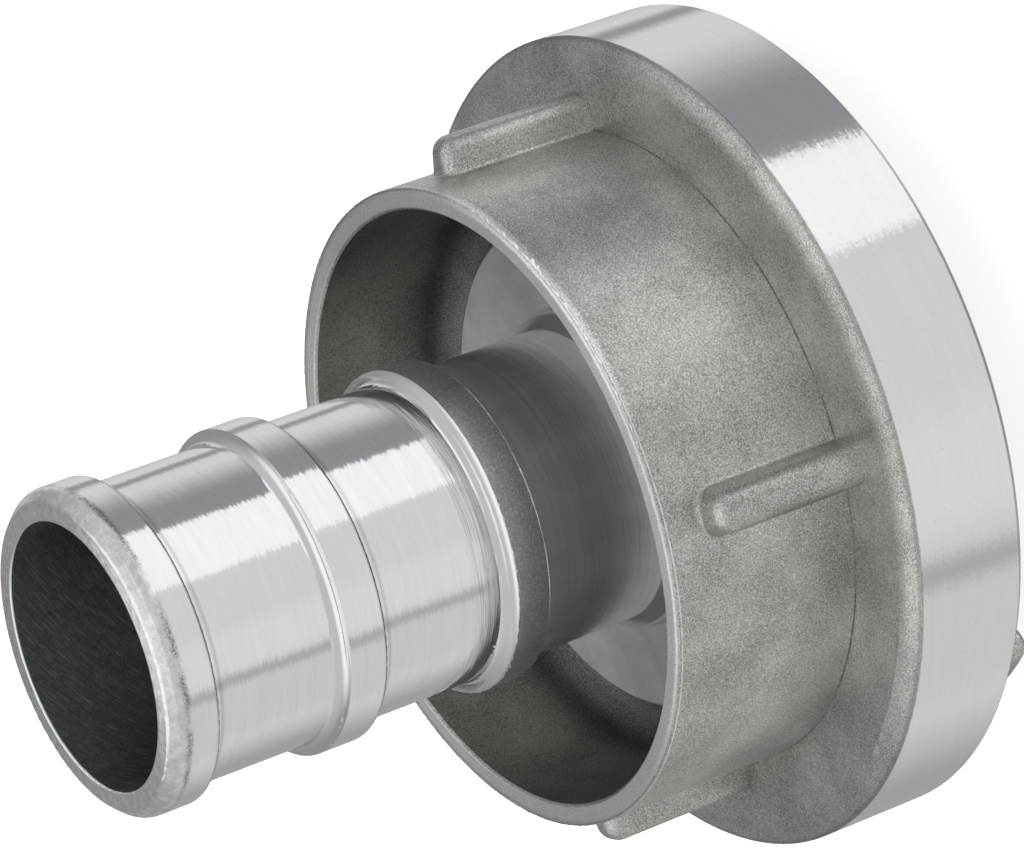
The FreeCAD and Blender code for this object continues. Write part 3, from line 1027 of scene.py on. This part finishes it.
@dataclass(frozen=True)
class Burr:
    """A thin ragged burr that the tool has left along a round edge, in millimetres.

    It is highest in one direction round the axis and fades away from there. Both angles are in degrees.
    """

    name: str
    radius: float
    height: float
    out: float
    up: float
    body: Body
    slot: Slot
    crest: float
    spread: float
    jagged: float = 2.6
    facing: float = 1.0
    sunk: float = 0.12
    steps: int = 1400
    far_share: float = 0.06
    base_share: float = 0.25
    least_share: float = 0.02
    tooth_scale: float = 2.4
    tooth_power: float = 1.2
    slow_scale: float = 0.11
    slow_swing: float = 0.5
    lift_scale: float = 1.3
    lift_mean: float = 0.5
    lift_swing: float = 0.8
    lift_layer: tuple[float, float, float] = (31.0, 0.0, 0.0)

    def reach(self, turn: float) -> tuple[float, float]:
        """Finds how far the burr stands out and up at a place round the edge.

        Args:
            turn: The direction round the axis in radians.

        Returns:
            The reach outwards and the reach along the axis.
        """
        spot = Vector((math.cos(turn), math.sin(turn), self.height / self.radius)) * self.radius
        apart = math.remainder(turn - math.radians(self.crest), 2.0 * math.pi) / math.radians(self.spread)
        near = self.far_share + (1.0 - self.far_share) * math.exp(-apart * apart)
        teeth = self.jagged * abs(noise.noise(spot * self.tooth_scale)) ** self.tooth_power
        share = near * (self.base_share + self.slow_swing * noise.noise(spot * self.slow_scale) + teeth)
        lift = self.lift_mean + self.lift_swing * noise.noise(spot * self.lift_scale + Vector(self.lift_layer))
        return max(share, self.least_share) * self.out, max(share * lift, self.least_share) * self.up

    def build(self, material: Material) -> None:
        """Builds the burr as a closed ring with three sides.

        Args:
            material: The material of the piece that it is on.
        """
        shell = bmesh.new()
        rows = []
        for i in range(self.steps):
            turn = 2.0 * math.pi * i / self.steps
            out, up = self.reach(turn)
            inner, outer = self.radius - self.sunk, self.radius + out
            low, high = self.height - self.facing * self.sunk, self.height + self.facing * up
            section = ((inner, self.height), (outer, high), (self.radius, low))
            at = ((r * math.cos(turn) * MM, r * math.sin(turn) * MM, z * MM) for r, z in section)
            rows.append([shell.verts.new(place) for place in at])
        for i, row in enumerate(rows):
            after = rows[(i + 1) % self.steps]
            for k in range(3):
                shell.faces.new((row[k], after[k], after[(k + 1) % 3], row[(k + 1) % 3]))
        bmesh.ops.recalc_face_normals(shell, faces=shell.faces)
        piece = add_object(self.name, shell, material)
        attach(piece, self.body.value)


@dataclass
class ClawRing:
    """The cast ring with flange, skirt, ribs and claws."""

    finish: CastFinish = CastFinish()
    burr: Burr = Burr("rim_burr", 38.0, 49.78, 0.65, 0.4, Body.RING, Slot.CAST, crest=118.0, spread=24.0)

    def build(self, effects: Effects) -> None:
        """Dresses the ring and puts the burr on its rim.

        Args:
            effects: The shared effects.
        """
        material = self.finish.material(effects)
        dress("claw_ring", material)
        self.burr.build(material)


@dataclass
class HoseTail:
    """The turned tail with its head, stop and beads."""

    finish: TurnedFinish = TurnedFinish()
    stop_burr: Burr = Burr("stop_burr", 19.12, 58.16, 0.32, 0.14, Body.TAIL, Slot.TURNED, crest=45.0, spread=50.0)
    edge_burr: Burr = Burr(
        "stop_edge_burr", 19.12, 53.98, 0.2, 0.12, Body.TAIL, Slot.TURNED, 95.0, 60.0, jagged=0.5, facing=-1.0
    )

    def build(self, effects: Effects) -> None:
        """Dresses the tail and puts the burrs on its stop.

        Args:
            effects: The shared effects.
        """
        material = self.finish.material(effects)
        dress("hose_tail", material)
        for burr in (self.stop_burr, self.edge_burr):
            burr.build(material)


@dataclass
class Seal:
    """The rubber ring in the mouth of the head, and the wire that holds the head."""

    rubber: RubberFinish = RubberFinish()
    spring: SpringFinish = SpringFinish()

    def build(self, effects: Effects) -> None:
        """Dresses the sealing ring and the snap ring."""
        dress("sealing_ring", self.rubber.material(effects))
        dress("snap_ring", self.spring.material(effects))


@dataclass(frozen=True)
class Panel:
    """A soft light or dark panel of the studio, by direction in degrees seen from the object.

    Its edges may slant: the centre moves by lean and the half width grows by flare for each degree of height above
    the level that the studio is set out at.
    """

    centre: float
    half_width: float
    level: float
    soft: float
    lean: float = 0.0
    flare: float = 0.0
    tint: Colour = WHITE


@dataclass
class LightTent:
    """A large tent round the object that lights it, with pale panels and darker gaps. Its angles are in degrees."""

    radius: float = 20.0
    subdivisions: int = 3
    setting_out: float = -29.0
    lowest: float = -16.0
    skyline: tuple[float, float] = (-17.0, 2.0)
    overhead_edge: tuple[float, float] = (36.0, 58.0)
    ground_edge: tuple[float, float] = (-62.0, -44.0)
    fill: Colour = (0.69, 0.69, 0.68)
    overhead: Colour = WHITE
    near_side: Colour = (0.56, 0.56, 0.56)
    far_side: Colour = (0.3, 0.3, 0.3)
    ground: Colour = (0.22, 0.22, 0.22)
    far: Panel = Panel(261.0, 58.0, 1.0, soft=34.0)
    panels: tuple[Panel, ...] = (
        Panel(286.0, 34.0, 0.37, soft=26.0, tint=(1.0, 1.0, 0.96)),
        Panel(2.0, 26.0, 0.62, soft=12.0, tint=(1.0, 1.0, 0.965)),
        Panel(50.0, 15.0, 0.74, soft=8.0),
        Panel(24.6, 4.0, 0.44, soft=3.5, lean=1.0),
        Panel(155.0, 31.0, 0.29, soft=17.0, tint=(0.98, 1.0, 1.06)),
        Panel(222.5, 5.0, 0.33, soft=4.0, lean=-1.1),
        Panel(130.1, 18.9, 1.0, soft=0.7, lean=-0.21, flare=0.92),
    )

    def mask(self, g: Graph, panel: Panel, azimuth: Wire, above: Wire) -> Wire:
        """Finds where a panel is seen.

        Args:
            g: The graph of the tent's material.
            panel: The panel.
            azimuth: The direction round the object in degrees.
            above: Degrees above the level that the studio is set out at.

        Returns:
            The panel's mask.
        """
        centre = g.math("MULTIPLY_ADD", above, panel.lean, panel.centre)
        apart = g.math("WRAP", g.math("SUBTRACT", azimuth, centre), 180.0, -180.0)
        half = g.math("MULTIPLY_ADD", above, panel.flare, panel.half_width)
        inside = g.math("SUBTRACT", half, g.math("ABSOLUTE", apart))
        return g.step(inside, -panel.soft, panel.soft)

    def material(self) -> Material:
        """Builds the glowing cloth of the tent.

        Returns:
            The material.
        """
        material, g = blank_material("tent_cloth")
        direction = g.vector("NORMALIZE", g.node("TexCoord").outputs["Object"])
        parts = g.node("SeparateXYZ", {0: direction}).outputs
        azimuth = g.math("DEGREES", g.math("ARCTAN2", parts["Y"], parts["X"]))
        height = g.math("DEGREES", g.math("ARCSINE", parts["Z"]))
        above = g.math("MAXIMUM", g.math("SUBTRACT", height, self.setting_out), self.lowest)
        glow: Wire | Colour = self.fill
        for panel in self.panels:
            shown = tuple(panel.level * part for part in panel.tint)
            glow = g.tint(self.mask(g, panel, azimuth, above), glow, shown)
        sides = g.tint(self.mask(g, self.far, azimuth, above), self.near_side, self.far_side)
        upper = g.tint(g.step(height, *self.overhead_edge), sides, self.overhead)
        glow = g.tint(g.step(height, *self.skyline), glow, upper)
        glow = g.tint(g.step(height, *self.ground_edge, 1.0, 0.0), glow, self.ground)
        close_material(g, g.node("Emission", {"Color": glow, "Strength": 1.0}))
        material.cycles.emission_sampling = "NONE"
        return material

    def build(self) -> None:
        """Builds the tent, which the camera doesn't see."""
        shell = bmesh.new()
        bmesh.ops.create_icosphere(shell, subdivisions=self.subdivisions, radius=self.radius)
        tent = add_object("light_tent", shell, self.material())
        tent.visible_camera = False
        tent.visible_shadow = False


def backdrop_share(g: Graph) -> Wire:
    """Finds the rays that see the backdrop as it is: those of the camera, of gloss and of glass.

    Args:
        g: The graph of the material or world.

    Returns:
        1 for those rays and 0 for the others.
    """
    path = g.node("LightPath").outputs
    seen = g.math("MAXIMUM", path["Is Camera Ray"], path["Is Glossy Ray"])
    return g.math("MAXIMUM", seen, path["Is Transmission Ray"])


@dataclass
class Floor:
    """The pale floor that keeps the object's shadow, and that can't be seen from below."""

    reach: float = 6.0
    height: float = -0.05 * MM
    colour: Colour = (0.8, 0.8, 0.8)
    lift: float = 0.76

    def material(self) -> Material:
        """Builds the paper of the floor, which is clear from below.

        Returns:
            The material.
        """
        material, g = blank_material("floor_paper")
        paper = g.node("BsdfDiffuse", {"Color": self.colour})
        glow = g.node("Emission", {"Strength": g.times(backdrop_share(g), self.lift)})
        upper = g.node("AddShader", {0: paper.outputs[0], 1: glow.outputs[0]})
        clear = g.node("BsdfTransparent")
        below = g.node("NewGeometry").outputs["Backfacing"]
        close_material(g, g.node("MixShader", {0: below, 1: upper.outputs[0], 2: clear.outputs[0]}))
        material.cycles.emission_sampling = "NONE"
        return material

    def build(self) -> None:
        """Builds the floor just under the claw tips."""
        shell = bmesh.new()
        ends = ((-1, -1), (1, -1), (1, 1), (-1, 1))
        shell.faces.new([shell.verts.new((x * self.reach, y * self.reach, self.height)) for x, y in ends])
        floor = add_object("floor", shell, self.material())
        floor.visible_glossy = False
        floor.visible_shadow = False


@dataclass
class Backdrop:
    """The plain white world behind everything."""

    def build(self) -> None:
        """Sets the world to white for the rays that see it."""
        world = bpy.data.worlds.new("backdrop")
        bpy.context.scene.world = world
        world.use_nodes = True
        world.node_tree.nodes.clear()
        g = Graph(world.node_tree)
        light = g.node("Background", {"Color": WHITE, "Strength": backdrop_share(g)})
        g.node("OutputWorld", {"Surface": light.outputs[0]})
        LOG.info("backdrop built")


@dataclass
class PhotoCamera:
    """A long lens from behind the coupling, turned on its side as in the photograph."""

    place: tuple[float, float, float] = (75.427, 580.989, 362.863)
    forward: tuple[float, float, float] = (-0.12500379, -0.86853878, -0.4795982)
    roll: float = 109.826
    lens: float = 205.17
    sensor: float = 36.0
    clip: tuple[float, float] = (0.05, 100.0)

    def build(self) -> None:
        """Builds the camera and makes it the scene's own."""
        data = bpy.data.cameras.new("photo_camera")
        data.lens = self.lens
        data.sensor_width = self.sensor
        data.sensor_fit = "HORIZONTAL"
        data.clip_start, data.clip_end = self.clip
        forward = Vector(self.forward).normalized()
        level = (Vector(UP) - forward * forward.z).normalized()
        turn = math.radians(self.roll)
        up = level * math.cos(turn) + forward.cross(level) * math.sin(turn)
        right = forward.cross(up)
        camera = bpy.data.objects.new("photo_camera", data)
        bpy.context.scene.collection.objects.link(camera)
        pose = camera.matrix_world.to_3x3()
        pose.col[0], pose.col[1], pose.col[2] = right, up, -forward
        camera.matrix_world = pose.to_4x4()
        camera.location = Vector(self.place) * MM
        bpy.context.scene.camera = camera
        LOG.info("camera built")


def main() -> None:
    """Builds the coupling's looks and the studio."""
    logging.basicConfig(level=logging.INFO, format="%(name)s: %(message)s")
    effects = Effects.build()
    ClawRing().build(effects)
    HoseTail().build(effects)
    Seal().build(effects)
    LightTent().build()
    Floor().build()
    Backdrop().build()
    PhotoCamera().build()
    bpy.context.scene.view_settings.view_transform = "Standard"


if __name__ == "__main__":
    main()
